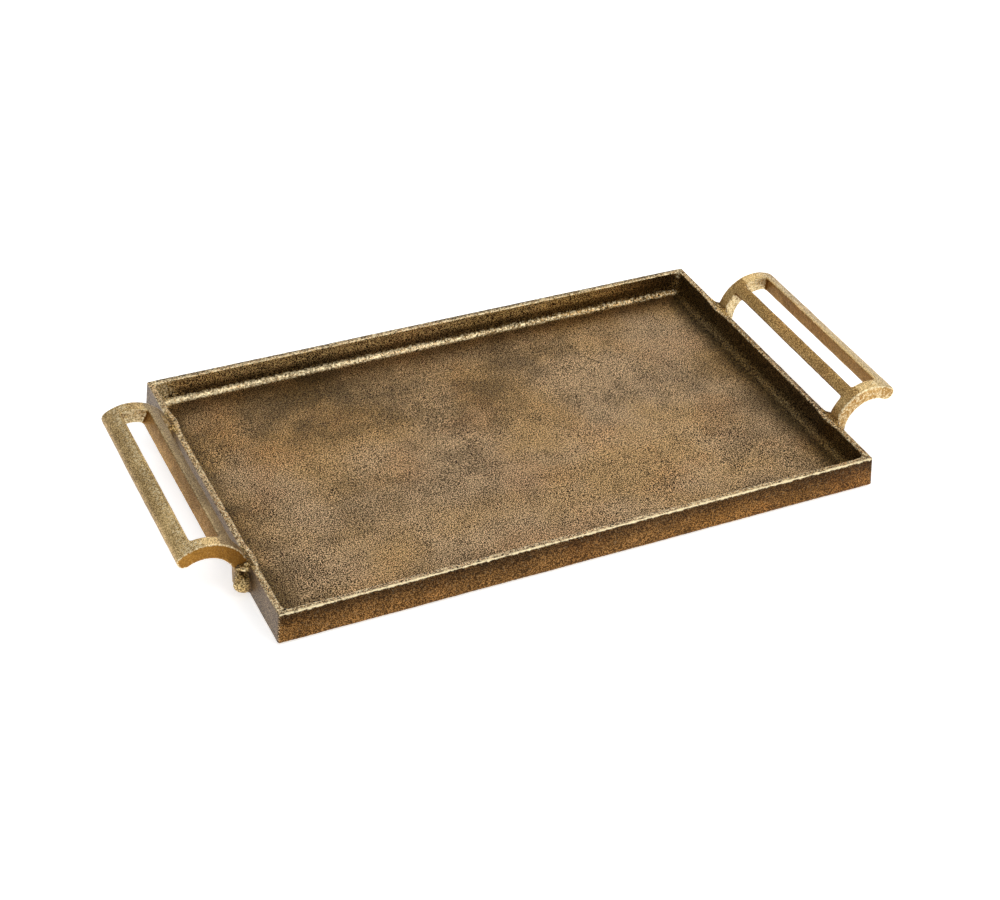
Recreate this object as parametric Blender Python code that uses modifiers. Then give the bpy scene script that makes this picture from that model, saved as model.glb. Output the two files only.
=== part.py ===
"""A cast brass serving tray with two arched, pierced handles.

The pan is one shallow sand casting. Each handle is a casting of its own: an arched strap,
pierced by a grip window and a rim gap, that stands on two legs. A lump of braze fastens
each leg to the pan's end wall, and felt pads under the corners keep the metal off the table.

Frame, in metres: +X runs from handle to handle, +Y towards the back, and +Z is up.
The origin is on the table, under the middle of the tray.

The pan's own heights start at its underside. A handle's frame starts on the rim's outer
face, at the underside's height, with its X axis pointing outwards from the pan.
"""

import math

import bmesh
import bpy
from mathutils import Matrix

# Pan
PAN_LENGTH = 0.490  # outside, at the rim
PAN_WIDTH = 0.3045  # outside, at the rim
PAN_HEIGHT = 0.0246  # from the underside to the rim
BASE_FLARE = 0.0020  # how far the foot of each wall stands out past the rim
RIM_WIDTH = 0.0050
WALL_DRAFT = 0.0020  # how far the inner face leans in, from the rim down to the floor
FLOOR_THICKNESS = 0.0030
FLOOR_FILLET = 0.0060  # radius where the floor turns up into the walls
INNER_CORNER = 0.0065  # plan radius of the hollow's corners
OUTER_EDGE_ROUND = 0.0007
UNDERSIDE_RECESS = 0.0020  # depth of the relief that leaves a border to stand on
UNDERSIDE_BORDER = 0.0180
RECESS_CORNER = 0.0100
BOSS_RISE = 0.0020  # how far the rim swells inwards behind each leg
BOSS_SPREAD = 0.0180  # half the length of that swelling

# Handles
HANDLE_LENGTH = 0.187
HANDLE_SHIFT = 0.004  # each handle stands this far off the tray's centre line
ARCH_PEAK = 0.0485
ARCH_OUTER_RADIUS = 0.0330
ARCH_INNER_RADIUS = 0.0230
STRAP_THICKNESS = 0.0125  # at the peak
LEG_THICKNESS = 0.0108
END_STRIP = 0.0106  # width of the legs, and of the strips between the rails
LEG_LIFT = 0.0010  # the legs stop this far above the pan's underside
HANDLE_EDGE_ROUND = 0.0018

# Angles round the arch's outer face, from 0 (outwards) over the peak to 180 (at the wall)
TIP_ANGLE = math.radians(58)
OUTER_RAIL_EDGE = math.radians(77.5)
MIDDLE_RAIL_OUTER_EDGE = math.radians(116)
MIDDLE_RAIL_INNER_EDGE = math.radians(135.5)

# Braze lumps
BRAZE_REACH = 0.0110  # out from the wall
BRAZE_SPREAD = 0.0110  # along the wall, past each side of the leg
BRAZE_RISE = 0.0045  # above the rim

# Felt pads
PAD_RADIUS = 0.0065
PAD_THICKNESS = 0.0012
PAD_EDGE_ROUND = 0.0003

JOINT_GAP = 0.0003  # clearance between neighbouring solids
CUT_PAST = 0.005  # how far a cutter runs past the face that it cuts through
WELD_DISTANCE = 1e-6
ARC_STEP = math.radians(7.5)
SHARP_ANGLE = math.radians(35)  # edges turned more than this are rounded off

PAN_BOTTOM = PAD_THICKNESS + JOINT_GAP
FLOOR_TOP = UNDERSIDE_RECESS + FLOOR_THICKNESS
LEG_PLACES = {"near": (END_STRIP - HANDLE_LENGTH) / 2, "far": (HANDLE_LENGTH - END_STRIP) / 2}
END_TURNS = {"left": math.pi, "right": 0.0}  # about +Z, from the right-hand end

PART = "brass_tray"
CUTTERS = "cutters"
METALS = {
    "pan_brass": (0.33, 0.22, 0.10),
    "handle_brass": (0.47, 0.33, 0.14),
    "braze_metal": (0.38, 0.27, 0.11),
}
METAL_ROUGHNESS = 0.42
FELT_COLOUR = (0.05, 0.035, 0.025)
FELT_ROUGHNESS = 0.95


def clear_scene():
    for obj in list(bpy.data.objects):
        bpy.data.objects.remove(obj)


def make_collections():
    for name in (PART, CUTTERS):
        collection = bpy.data.collections.new(name)
        bpy.context.scene.collection.children.link(collection)


def make_material(name, colour, roughness, metallic):
    material = bpy.data.materials.new(name)
    material.use_nodes = True
    shader = material.node_tree.nodes["Principled BSDF"]
    shader.inputs["Base Color"].default_value = (*colour, 1.0)
    shader.inputs["Roughness"].default_value = roughness
    shader.inputs["Metallic"].default_value = metallic


def make_materials():
    for name, colour in METALS.items():
        make_material(name, colour, METAL_ROUGHNESS, 1.0)
    make_material("felt", FELT_COLOUR, FELT_ROUGHNESS, 0.0)


def add_anchor(name, location, turn=0.0):
    """An empty that carries the shapes made in its frame."""
    anchor = bpy.data.objects.new(name, None)
    bpy.context.scene.collection.objects.link(anchor)
    anchor.location = location
    anchor.rotation_euler.z = turn
    return anchor


def add_mesh(name, shape, anchor, collection):
    """An object that holds this bmesh, which is freed, in the anchor's frame."""
    mesh = bpy.data.meshes.new(name)
    shape.to_mesh(mesh)
    shape.free()
    obj = bpy.data.objects.new(name, mesh)
    bpy.data.collections[collection].objects.link(obj)
    obj.parent = anchor
    return obj


def add_piece(name, shape, anchor, material):
    obj = add_mesh(name, shape, anchor, PART)
    obj.data.materials.append(bpy.data.materials[material])
    return obj


def add_cutter(name, shape, anchor):
    cutter = add_mesh(name, shape, anchor, CUTTERS)
    cutter.hide_render = True
    cutter.display_type = "WIRE"
    return cutter


def cut(obj, cutter):
    boolean = obj.modifiers.new("cut_" + cutter.name, "BOOLEAN")
    boolean.operation = "DIFFERENCE"
    boolean.solver = "EXACT"
    boolean.object = cutter


def round_off(obj, radius, segments):
    bevel = obj.modifiers.new("round_off", "BEVEL")
    bevel.width = radius
    bevel.segments = segments
    bevel.limit_method = "ANGLE"
    bevel.angle_limit = SHARP_ANGLE


def shade_round(obj):
    obj.data.shade_smooth()
    obj.data.set_sharp_from_angle(angle=SHARP_ANGLE)


def tapered_block(low, high, z_low, z_high):
    """A block whose foot and top measure low and high, each (length, width)."""
    shape = bmesh.new()
    bmesh.ops.create_cube(shape, size=1.0)
    for vert in shape.verts:
        length, width = high if vert.co.z > 0 else low
        vert.co.x *= length
        vert.co.y *= width
        vert.co.z = z_high if vert.co.z > 0 else z_low
    return shape


def disc(radius, height, sides):
    shape = bmesh.new()
    bmesh.ops.create_cone(
        shape,
        cap_ends=True,
        segments=sides,
        radius1=radius,
        radius2=radius,
        depth=height,
    )
    return shape


def is_upright(edge):
    """Whether the edge runs up the block, rather than round its foot or its top."""
    rise = abs(edge.verts[0].co.z - edge.verts[1].co.z)
    return rise > edge.calc_length() / 2


def round_edges(shape, edges, radius, segments):
    bmesh.ops.bevel(
        shape,
        geom=edges,
        offset=radius,
        offset_type="OFFSET",
        segments=segments,
        profile=0.5,
        affect="EDGES",
        clamp_overlap=True,
    )


def round_upright_edges(shape, radius, segments):
    round_edges(shape, [e for e in shape.edges if is_upright(e)], radius, segments)


def pan_block(grow=0.0):
    """The pan's outside, grown by this much on every side."""

    def size(z):
        out = 2 * (BASE_FLARE * (1 - z / PAN_HEIGHT) + grow)
        return PAN_LENGTH + out, PAN_WIDTH + out

    low, high = -grow, PAN_HEIGHT + grow
    return tapered_block(size(low), size(high), low, high)


def hollow_block():
    """The inside of the pan, narrower at the floor, with rounded corners and a filleted foot."""
    slope = WALL_DRAFT / (PAN_HEIGHT - FLOOR_TOP)

    def size(z):
        inset = 2 * (RIM_WIDTH + slope * (PAN_HEIGHT - z))
        return PAN_LENGTH - inset, PAN_WIDTH - inset

    over = PAN_HEIGHT + CUT_PAST
    shape = tapered_block(size(FLOOR_TOP), size(over), FLOOR_TOP, over)
    round_upright_edges(shape, INNER_CORNER, segments=4)
    middle = (FLOOR_TOP + over) / 2
    foot = [e for e in shape.edges if all(v.co.z < middle for v in e.verts)]
    round_edges(shape, foot, FLOOR_FILLET, segments=5)
    return shape


def recess_block():
    """The shallow relief under the floor."""
    length = PAN_LENGTH - 2 * UNDERSIDE_BORDER
    width = PAN_WIDTH - 2 * UNDERSIDE_BORDER
    wide_foot = (length + 2 * CUT_PAST, width + 2 * CUT_PAST)
    shape = tapered_block(wide_foot, (length, width), -CUT_PAST, UNDERSIDE_RECESS)
    round_upright_edges(shape, RECESS_CORNER, segments=5)
    return shape


def add_boss_cutter(name, leg_y, end):
    """A wide upright disc whose edge stands BOSS_RISE inside the rim, behind one leg."""
    radius = (BOSS_SPREAD**2 + BOSS_RISE**2) / (2 * BOSS_RISE)
    boss = add_cutter(name, disc(radius, 2 * PAN_HEIGHT, sides=120), end)
    boss.location = (radius - RIM_WIDTH - BOSS_RISE, leg_y, PAN_HEIGHT)
    return boss


def make_pan(base, ends):
    """The pan, whose hollow stays clear of the boss behind each leg."""
    shape = pan_block()
    round_edges(shape, list(shape.edges), OUTER_EDGE_ROUND, segments=2)
    pan = add_piece("tray_pan", shape, base, "pan_brass")
    hollow = add_cutter("hollow", hollow_block(), base)
    for side, end in ends.items():
        for place, leg_y in LEG_PLACES.items():
            cut(hollow, add_boss_cutter(f"{side}_{place}_boss", leg_y, end))
    cut(pan, hollow)
    cut(pan, add_cutter("recess", recess_block(), base))


def point_round(centre, radius, angle):
    return centre[0] + radius * math.cos(angle), centre[1] + radius * math.sin(angle)


def arc(centre, radius, start, finish):
    """Points along an arc of a circle, both ends included."""
    steps = max(2, round(abs(finish - start) / ARC_STEP))
    turns = [start + (finish - start) * i / steps for i in range(steps + 1)]
    return [point_round(centre, radius, turn) for turn in turns]


def arch_outer_centre():
    return ARCH_OUTER_RADIUS + JOINT_GAP, ARCH_PEAK - ARCH_OUTER_RADIUS


def arch_inner_centre():
    return (
        LEG_THICKNESS + ARCH_INNER_RADIUS + JOINT_GAP,
        ARCH_PEAK - STRAP_THICKNESS - ARCH_INNER_RADIUS,
    )


def strap_thickness_at(angle):
    """The strap's thickness along a line from the outer arc's centre at this angle."""
    outer, inner = arch_outer_centre(), arch_inner_centre()
    dx, dz = inner[0] - outer[0], inner[1] - outer[1]
    along = dx * math.cos(angle) + dz * math.sin(angle)
    across = dz * math.cos(angle) - dx * math.sin(angle)
    underside = along + math.sqrt(ARCH_INNER_RADIUS**2 - across**2)
    return ARCH_OUTER_RADIUS - underside


def arch_outline(grow=0.0):
    """The handle's side view, grown by this much: a leg, an arch and a rounded tip."""
    outer, inner = arch_outer_centre(), arch_inner_centre()
    nose_radius = strap_thickness_at(TIP_ANGLE) / 2
    nose = point_round(outer, ARCH_OUTER_RADIUS - nose_radius, TIP_ANGLE)
    nose_turn = math.atan2(nose[1] - inner[1], nose[0] - inner[0])
    foot = LEG_LIFT - grow
    wall_side = outer[0] - ARCH_OUTER_RADIUS - grow
    under_side = inner[0] - ARCH_INNER_RADIUS + grow
    return [
        (wall_side, foot),
        (under_side, foot),
        *arc(inner, ARCH_INNER_RADIUS - grow, math.pi, nose_turn),
        *arc(nose, nose_radius + grow, nose_turn - math.pi, TIP_ANGLE)[1:-1],
        *arc(outer, ARCH_OUTER_RADIUS + grow, TIP_ANGLE, math.pi),
    ]


def grip_window_outline():
    """The gap between the middle rail and the outer rail, whose inner face is upright."""
    past = 2 * ARCH_OUTER_RADIUS
    centre = arch_outer_centre()
    rail_face = point_round(centre, ARCH_OUTER_RADIUS, OUTER_RAIL_EDGE)[0]
    return [
        centre,
        (rail_face, centre[1]),
        (rail_face, past),
        point_round(centre, past, MIDDLE_RAIL_OUTER_EDGE),
    ]


def rim_gap_outline():
    """The gap between the middle rail and the pan's wall, down past the legs' feet."""
    centre = arch_outer_centre()
    corner = point_round(centre, 2 * ARCH_OUTER_RADIUS, MIDDLE_RAIL_INNER_EDGE)
    inside = min(corner[0], -RIM_WIDTH)
    return [
        centre,
        corner,
        (inside, corner[1]),
        (inside, -CUT_PAST),
        (centre[0], -CUT_PAST),
    ]


def upright_plate(outline, thickness):
    """A flat outline in the XZ plane, as a closed shape that is this thick along Y."""
    curve = bpy.data.curves.new("outline", "CURVE")
    curve.dimensions = "2D"
    curve.fill_mode = "BOTH"
    curve.extrude = thickness / 2
    spline = curve.splines.new("POLY")
    spline.points.add(len(outline) - 1)
    for point, (x, z) in zip(spline.points, outline):
        point.co = (x, z, 0, 1)
    spline.use_cyclic_u = True
    guide = bpy.data.objects.new("outline", curve)
    bpy.data.collections[CUTTERS].objects.link(guide)
    guide.matrix_world = Matrix.Rotation(math.pi / 2, 4, "X")
    bpy.context.view_layer.update()
    evaluated = guide.evaluated_get(bpy.context.evaluated_depsgraph_get())
    mesh = bpy.data.meshes.new_from_object(evaluated)
    mesh.transform(guide.matrix_world)
    bpy.data.objects.remove(guide)
    shape = bmesh.new()
    shape.from_mesh(mesh)
    bpy.data.meshes.remove(mesh)
    bmesh.ops.remove_doubles(shape, verts=shape.verts, dist=WELD_DISTANCE)
    bmesh.ops.dissolve_limit(
        shape, angle_limit=math.radians(1), verts=shape.verts, edges=shape.edges
    )
    bmesh.ops.recalc_face_normals(shape, faces=shape.faces)
    return shape


def make_handle(side, end, clearance):
    shape = upright_plate(arch_outline(), HANDLE_LENGTH)
    handle = add_piece(f"{side}_handle", shape, end, "handle_brass")
    between_legs = HANDLE_LENGTH - 2 * END_STRIP
    window = upright_plate(grip_window_outline(), between_legs)
    gap = upright_plate(rim_gap_outline(), between_legs)
    cut(handle, add_cutter(f"{side}_grip_window", window, end))
    cut(handle, add_cutter(f"{side}_rim_gap", gap, end))
    cut(handle, clearance)
    round_off(handle, HANDLE_EDGE_ROUND, segments=2)
    shade_round(handle)


def lump_ring(height, spread, reach, over):
    """One level of a lump, seen from above: flanks that curve in from the wall to the leg."""
    half = END_STRIP / 2
    flank = [
        (-over, half + spread),
        (0.15 * reach, half + spread),
        (0.45 * reach, half + 0.35 * spread),
        (reach, half + 0.15 * spread),
    ]
    other_flank = [(x, -y) for x, y in reversed(flank)]
    return [(x, y, height) for x, y in flank + other_flank]


def lump_cage():
    """A coarse cage for the lump round one leg, with the leg's middle at Y zero."""
    low, full, edge, crown = (share * BRAZE_SPREAD for share in (0.8, 1.1, 0.7, 0.2))
    rings = [
        lump_ring(LEG_LIFT, low, BRAZE_REACH, RIM_WIDTH),
        lump_ring(0.3 * PAN_HEIGHT, full, BRAZE_REACH, RIM_WIDTH),
        lump_ring(0.7 * PAN_HEIGHT, full, BRAZE_REACH, RIM_WIDTH),
        lump_ring(PAN_HEIGHT, edge, 0.75 * BRAZE_REACH, 0.4 * RIM_WIDTH),
        lump_ring(PAN_HEIGHT + BRAZE_RISE, crown, 0.4 * BRAZE_REACH, 0.1 * RIM_WIDTH),
    ]
    shape = bmesh.new()
    levels = [[shape.verts.new(point) for point in ring] for ring in rings]
    for lower, upper in zip(levels, levels[1:]):
        for i in range(len(lower)):
            j = (i + 1) % len(lower)
            shape.faces.new((lower[i], lower[j], upper[j], upper[i]))
    shape.faces.new(levels[0])
    shape.faces.new(levels[-1])
    bmesh.ops.recalc_face_normals(shape, faces=shape.faces)
    return shape


def make_braze(name, leg_y, end, clearance):
    """The lump round one leg, which stays clear of the leg and of the pan."""
    braze = add_piece(name, lump_cage(), end, "braze_metal")
    braze.location.y = leg_y
    rounding = braze.modifiers.new("rounding", "SUBSURF")
    rounding.levels = 2
    rounding.render_levels = 2
    grown_leg = upright_plate(arch_outline(JOINT_GAP), END_STRIP + 2 * JOINT_GAP)
    leg = add_cutter(f"{name}_leg_clearance", grown_leg, end)
    leg.location.y = leg_y
    cut(braze, leg)
    cut(braze, clearance)
    shade_round(braze)


def make_pad(name, x, y):
    pad = add_piece(name, disc(PAD_RADIUS, PAD_THICKNESS, sides=32), None, "felt")
    round_off(pad, PAD_EDGE_ROUND, segments=1)
    shade_round(pad)
    pad.location = (x, y, PAD_THICKNESS / 2)


def make_pads():
    """One pad in the middle of the border at each corner."""
    inset = UNDERSIDE_BORDER / 2
    x, y = PAN_LENGTH / 2 - inset, PAN_WIDTH / 2 - inset
    for side, across in (("left", -1), ("right", 1)):
        for end, along in (("front", -1), ("back", 1)):
            make_pad(f"{side}_{end}_foot_pad", across * x, along * y)


def add_end_anchors():
    """The frame of each handle: the left one is the right one after half a turn."""
    ends = {}
    for side, turn in END_TURNS.items():
        across = math.cos(turn)
        place = (across * PAN_LENGTH / 2, -across * HANDLE_SHIFT, PAN_BOTTOM)
        ends[side] = add_anchor(f"{side}_end", place, turn)
    return ends


def main():
    clear_scene()
    make_collections()
    make_materials()
    base = add_anchor("pan_base", (0, 0, PAN_BOTTOM))
    ends = add_end_anchors()
    make_pan(base, ends)
    clearance = add_cutter("pan_clearance", pan_block(grow=JOINT_GAP), base)
    for side, end in ends.items():
        make_handle(side, end, clearance)
        for leg_y in LEG_PLACES.values():
            row = "back" if leg_y * math.cos(END_TURNS[side]) > 0 else "front"
            make_braze(f"{side}_{row}_braze", leg_y, end, clearance)
    make_pads()


main()
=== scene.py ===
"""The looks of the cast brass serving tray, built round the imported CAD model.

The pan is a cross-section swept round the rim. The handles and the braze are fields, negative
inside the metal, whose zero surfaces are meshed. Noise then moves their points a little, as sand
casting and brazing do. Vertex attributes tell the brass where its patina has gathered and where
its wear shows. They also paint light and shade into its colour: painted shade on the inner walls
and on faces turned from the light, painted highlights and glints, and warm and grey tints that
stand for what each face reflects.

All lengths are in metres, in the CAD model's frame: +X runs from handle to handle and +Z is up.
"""

import math
from types import SimpleNamespace

import bpy
import numpy as np
from mathutils import Matrix, Vector, noise


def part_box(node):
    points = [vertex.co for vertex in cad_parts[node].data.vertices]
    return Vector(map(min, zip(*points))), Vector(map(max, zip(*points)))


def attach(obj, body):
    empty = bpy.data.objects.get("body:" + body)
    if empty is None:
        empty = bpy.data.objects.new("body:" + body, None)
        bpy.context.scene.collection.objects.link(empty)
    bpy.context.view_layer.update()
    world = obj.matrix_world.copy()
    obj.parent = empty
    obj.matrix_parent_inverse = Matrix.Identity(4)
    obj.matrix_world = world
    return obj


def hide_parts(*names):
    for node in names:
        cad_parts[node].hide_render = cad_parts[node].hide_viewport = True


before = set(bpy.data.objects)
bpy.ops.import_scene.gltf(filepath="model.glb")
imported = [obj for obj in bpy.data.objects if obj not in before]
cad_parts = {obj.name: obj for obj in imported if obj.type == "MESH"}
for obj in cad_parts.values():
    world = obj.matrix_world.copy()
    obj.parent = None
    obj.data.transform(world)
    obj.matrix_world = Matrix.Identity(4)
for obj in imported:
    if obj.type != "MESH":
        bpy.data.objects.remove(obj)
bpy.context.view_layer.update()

MM = 0.001

# The pan, as in the CAD model
BASE_FLARE = 2.0 * MM
RIM_WIDTH = 5.0 * MM
WALL_DRAFT = 2.0 * MM
FLOOR_HEIGHT = 5.0 * MM  # above the pan's underside
FLOOR_FILLET = 6.0 * MM
UNDERSIDE_RECESS = 2.0 * MM
UNDERSIDE_BORDER = 18.0 * MM
BOSS_RISE = 2.0 * MM  # how far the rim swells inwards behind each leg

# The handles, as in the CAD model
ARCH_OUTER_RADIUS = 33.0 * MM
ARCH_INNER_RADIUS = 23.0 * MM
STRAP_THICKNESS = 12.5 * MM
LEG_THICKNESS = 10.8 * MM
LEG_LIFT = 1.0 * MM
END_STRIP = 10.6 * MM
TIP_ANGLE = math.radians(58)
OUTER_RAIL_EDGE = math.radians(77.5)
MIDDLE_RAIL_OUTER_EDGE = math.radians(116)
MIDDLE_RAIL_INNER_EDGE = math.radians(135.5)

# The pan's shape where it differs from the CAD model's
BOSS_SPREAD = 17.0 * MM  # half the length of the rim's swelling behind a leg
LEG_DIP = 0.35 * MM  # how far the worn rim sinks beside a leg
LEG_DIP_SPREAD = 14 * MM
FLOOR_BAND = 17 * MM  # the floor's swept border, outside its flat middle
UNDERSIDE_BAND = 12 * MM  # the same for the underside

# Rounding that the plain CAD solids leave out
RIM_INNER_ROUND = 1.2 * MM
RIM_OUTER_ROUND = 0.8 * MM
BASE_ROUND = 1.3 * MM
RECESS_ROUND = 0.6 * MM
WINDOW_EDGE_ROUND = 1.1 * MM
WINDOW_CORNER_ROUND = 2.2 * MM
END_EDGE_ROUND = 1.1 * MM
LEG_FOOT_ROUND = 1.0 * MM

# Braze
FLARE_ROUND = 6.5 * MM  # the hollow between the wall and a leg, seen from above
FLARE_RISE = 0.2 * MM  # how far the metal there stands above the rim
FLARE_BLEND = 0.8 * MM  # radius where that metal meets the wall and the leg
ROOT_ROUND = 2.2 * MM  # the hollow where a leg rises from the rim
DROP_BLEND = 2.0 * MM  # radius where a drop meets the rest
BRAZE_SPREAD = 12.0 * MM  # along the wall, past each side of the leg
BRAZE_REACH = 14.0 * MM  # out from the wall
BRAZE_TOP = 4 * MM  # above the rim
BRAZE_DEPTH = 1.2 * MM  # how far the braze's hidden side lies inside the wall and the leg
BRAZE_SINK = 0.12 * MM  # how far the braze's thin edges dip under the metal that they lie on
BRAZE_EDGE_SINK = 0.8 * MM  # how much further they dip at its borders

# Drops of braze at a leg: the centre's distances out from the wall, past the handle's end and up
# from the underside, and the drop's radii the same ways. The left front leg has a bulge at its
# foot, a ledge near the rim and a run between them.
PLAIN_DROPS = [((3.0 * MM, 0.0, 6.0 * MM), (4.0 * MM, 2.6 * MM, 5.0 * MM))]
ROUGH_DROPS = [
    ((4.2 * MM, 2.2 * MM, 7.4 * MM), (8.4 * MM, 6.2 * MM, 7.0 * MM)),
    ((2.0 * MM, 1.0 * MM, 21.5 * MM), (6.5 * MM, 4.8 * MM, 2.6 * MM)),
    ((7.5 * MM, -0.8 * MM, 14.0 * MM), (2.8 * MM, 2.6 * MM, 7.0 * MM)),
]

# The left handle was fitted by hand a little closer to its wall than the CAD model's average
CLOSER = {"left": 2.0 * MM, "right": 0.0}

# Faces
WELD_STEP = 0.001 * MM
ALONG_LENGTH, ALONG_WIDTH, ROUND_CORNER = 200, 124, 6
PROFILE_STEP = 2.2 * MM
HANDLE_STEP = 0.75 * MM
BRAZE_STEP = 0.5 * MM
PAD_SIDES = 48

# Unevenness, as pairs of a wave's height and its length
CAST_WAVES = ((0.22 * MM, 55 * MM), (0.10 * MM, 14 * MM))
HANDLE_WAVES = ((0.12 * MM, 5 * MM),)
RIM_WAVES = ((0.20 * MM, 2.6 * MM), (0.16 * MM, 7 * MM))
BRAZE_WAVES = ((0.35 * MM, 3.2 * MM), (0.20 * MM, 1.5 * MM))
PAD_WAVES = ((0.12 * MM, 3 * MM),)
SEED_OFFSET = (17.1, 5.3, 11.7)  # where one seed's noise lies from the last one's, in wavelengths

# A felt pad's cross-section, as shares of its radius and its height
PAD_PROFILE = (
    [(0, 0), (0.5, 0), (0.86, 0), (0.96, 0.12), (1, 0.4)]
    + [(0.99, 0.75), (0.93, 0.97), (0.8, 1), (0.4, 1), (0, 1)]
)

# How dark the pan's inside is, from 0 to 1: painted shade on its walls, and a floor that darkens
# towards them and in a stain. A pair is a start and what is added to it.
RIGHT_WALL_DARK, NEAR_WALLS_DARK = 1.0, 0.6
BACK_WALL_DARK = (0.96, 0.03)  # from its left end to its right end
BACK_WALL_TOP = (0.76, 0.24)  # from the rim downwards, as a share
RIGHT_FLOOR_DARK, NEAR_FLOOR_DARK, LEFT_FLOOR_MORE = 0.75, 0.30, 0.26
BACK_FLOOR_DARK = (0.15, 0.15)
BACK_EDGE_DARK = 0.9
EDGE_FADE = 13 * MM  # how far the floor's dark edges reach
STAIN_DARK = 0.42
STAIN_MIDDLE, STAIN_SPREAD = (-0.35, 0.65), (0.75, 0.50)  # as shares of the pan's half sizes

# How much wear the pan shows, and how strong its painted highlights are, from 0 to 1. The front
# edges' extra over every other edge, the line along the inside of the back rim, the back fillet
# and the back inner corners are painted highlights
RIM_TOP_WORN = 0.33
INNER_LINE_HIGHLIGHT = 0.62  # along the inside of the back rim
BEHIND_FRONT_SHARE = 0.55  # every other edge's share of the front edges' wear
FILLET_HIGHLIGHT = (0.34, 0.36)  # the back fillet's, from its right end to its left end
LEFT_CORNER_HIGHLIGHT, RIGHT_CORNER_HIGHLIGHT = 0.55, 0.34

# How the two handles' painted light and shade differ, on the same brass: warm tints on the end
# and side faces, a painted highlight on the right one's end faces, painted shade high up near the
# wall on the right one, and a grey painted tone on the left one's upward faces near the wall
HANDLE_LOOKS = {
    "left": SimpleNamespace(end_warm=1.0, end_highlight=0.0, side_warm=1.0, top_shade=0.0, back_grey=0.7),
    "right": SimpleNamespace(end_warm=0.3, end_highlight=0.35, side_warm=0.7, top_shade=0.55, back_grey=0.0),
}

FAR_FROM_EDGE = 99.0  # in millimetres, for pieces that have no front rim

pan_low, pan_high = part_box("tray_pan")
RIM_HALF_LENGTH = pan_high.x - BASE_FLARE
RIM_HALF_WIDTH = pan_high.y - BASE_FLARE
PAN_HEIGHT = pan_high.z - pan_low.z
FLOOR_EDGE = RIM_WIDTH + WALL_DRAFT + FLOOR_FILLET  # the inset where the floor turns flat


# ------------------------------------------------------------------ meshes


def noise_at(points, wavelength, seed):
    """Smooth noise between about -1 and 1 at each point."""
    offset = Vector([step * seed for step in SEED_OFFSET])
    return np.array([noise.noise(Vector(p) / wavelength + offset) for p in points.tolist()])


def waves(points, sizes, seed):
    """Smooth noises added up, each with its own height, wavelength and seed."""
    return sum(
        height * noise_at(points, wavelength, seed + place)
        for place, (height, wavelength) in enumerate(sizes)
    )


def smooth_step(low, high, value):
    share = np.clip((value - low) / (high - low), 0, 1)
    return share * share * (3 - 2 * share)


def plain_mesh(name, points, faces):
    mesh = bpy.data.meshes.new(name)
    mesh.from_pydata(points.tolist(), [], faces if isinstance(faces, list) else faces.tolist())
    return mesh


def make_piece(name, points, faces, channels, material, nodes):
    """A smooth-shaded mesh that stands for these CAD nodes, with a float attribute per channel."""
    mesh = plain_mesh(name, points, faces)
    for channel, values in channels.items():
        attribute = mesh.attributes.new(channel, "FLOAT", "POINT")
        attribute.data.foreach_set("value", np.asarray(values, np.float32))
    mesh.shade_smooth()
    mesh.materials.append(material)
    piece = bpy.data.objects.new(name, mesh)
    bpy.context.scene.collection.objects.link(piece)
    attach(piece, "root")
    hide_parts(*nodes)
    return piece


def vertex_normals(points, faces):
    mesh = plain_mesh("for_normals", points, faces)
    normals = np.empty(len(points) * 3, np.float32)
    mesh.vertex_normals.foreach_get("vector", normals)
    bpy.data.meshes.remove(mesh)
    return normals.reshape(-1, 3).astype(float)


# ------------------------------------------------------------------ the pan


def bend(inset, height, radius=0.0, steps=1, plan=(0.0, 0.0), wear_and_highlight=0.0, boss=0.0):
    """A bend of the pan's cross-section. Plan is the radius of the ring's corners, seen from
    above, at the bend's two ends. The last two say how much wear the surface shows, and how much
    of the bosses' swelling it takes."""
    at = np.array((inset, height))
    return SimpleNamespace(at=at, radius=radius, steps=steps, plan=plan, wear_and_highlight=wear_and_highlight, boss=boss)


def pan_bends():
    """The cross-section from the floor, over the rim and down to the underside."""
    foot = RIM_WIDTH + WALL_DRAFT
    recess = UNDERSIDE_BORDER + RECESS_ROUND
    inner = (5.5 * MM, 5.5 * MM)
    under = (9 * MM, 9 * MM)
    return [
        bend(foot + FLOOR_BAND, FLOOR_HEIGHT),
        bend(foot, FLOOR_HEIGHT, FLOOR_FILLET, steps=9, plan=(3.0 * MM, 9.0 * MM), boss=0.2),
        bend(RIM_WIDTH, PAN_HEIGHT, RIM_INNER_ROUND, steps=5, plan=inner, wear_and_highlight=0.4, boss=1.0),
        bend(0, PAN_HEIGHT, RIM_OUTER_ROUND, steps=5, plan=(1.0 * MM, 1.8 * MM), wear_and_highlight=1.0),
        bend(-BASE_FLARE, 0, BASE_ROUND, steps=4, plan=(2.2 * MM, 1.2 * MM), wear_and_highlight=0.5),
        bend(UNDERSIDE_BORDER, 0, RECESS_ROUND, steps=2, plan=under, wear_and_highlight=0.3),
        bend(recess, UNDERSIDE_RECESS, RECESS_ROUND, steps=2, plan=(9 * MM, 8 * MM)),
        bend(recess + UNDERSIDE_BAND, UNDERSIDE_RECESS),
    ]


def unit(vector):
    return vector / np.linalg.norm(vector)


def arc_of(before, here, after):
    """The points of a bend's arc, from its first tangent point to its last."""
    to_before, to_after = unit(before.at - here.at), unit(after.at - here.at)
    half = math.acos(float(np.clip(to_before @ to_after, -1, 1))) / 2
    first = here.at + to_before * here.radius / math.tan(half)
    last = here.at + to_after * here.radius / math.tan(half)
    centre = here.at + unit(to_before + to_after) * here.radius / math.sin(half)
    start = math.atan2(*(first - centre)[::-1])
    turn = math.atan2(*(last - centre)[::-1]) - start
    turn = (turn + math.pi) % (2 * math.pi) - math.pi
    angles = start + turn * np.linspace(0, 1, here.steps + 1)
    return centre + here.radius * np.stack([np.cos(angles), np.sin(angles)], axis=1)


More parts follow.
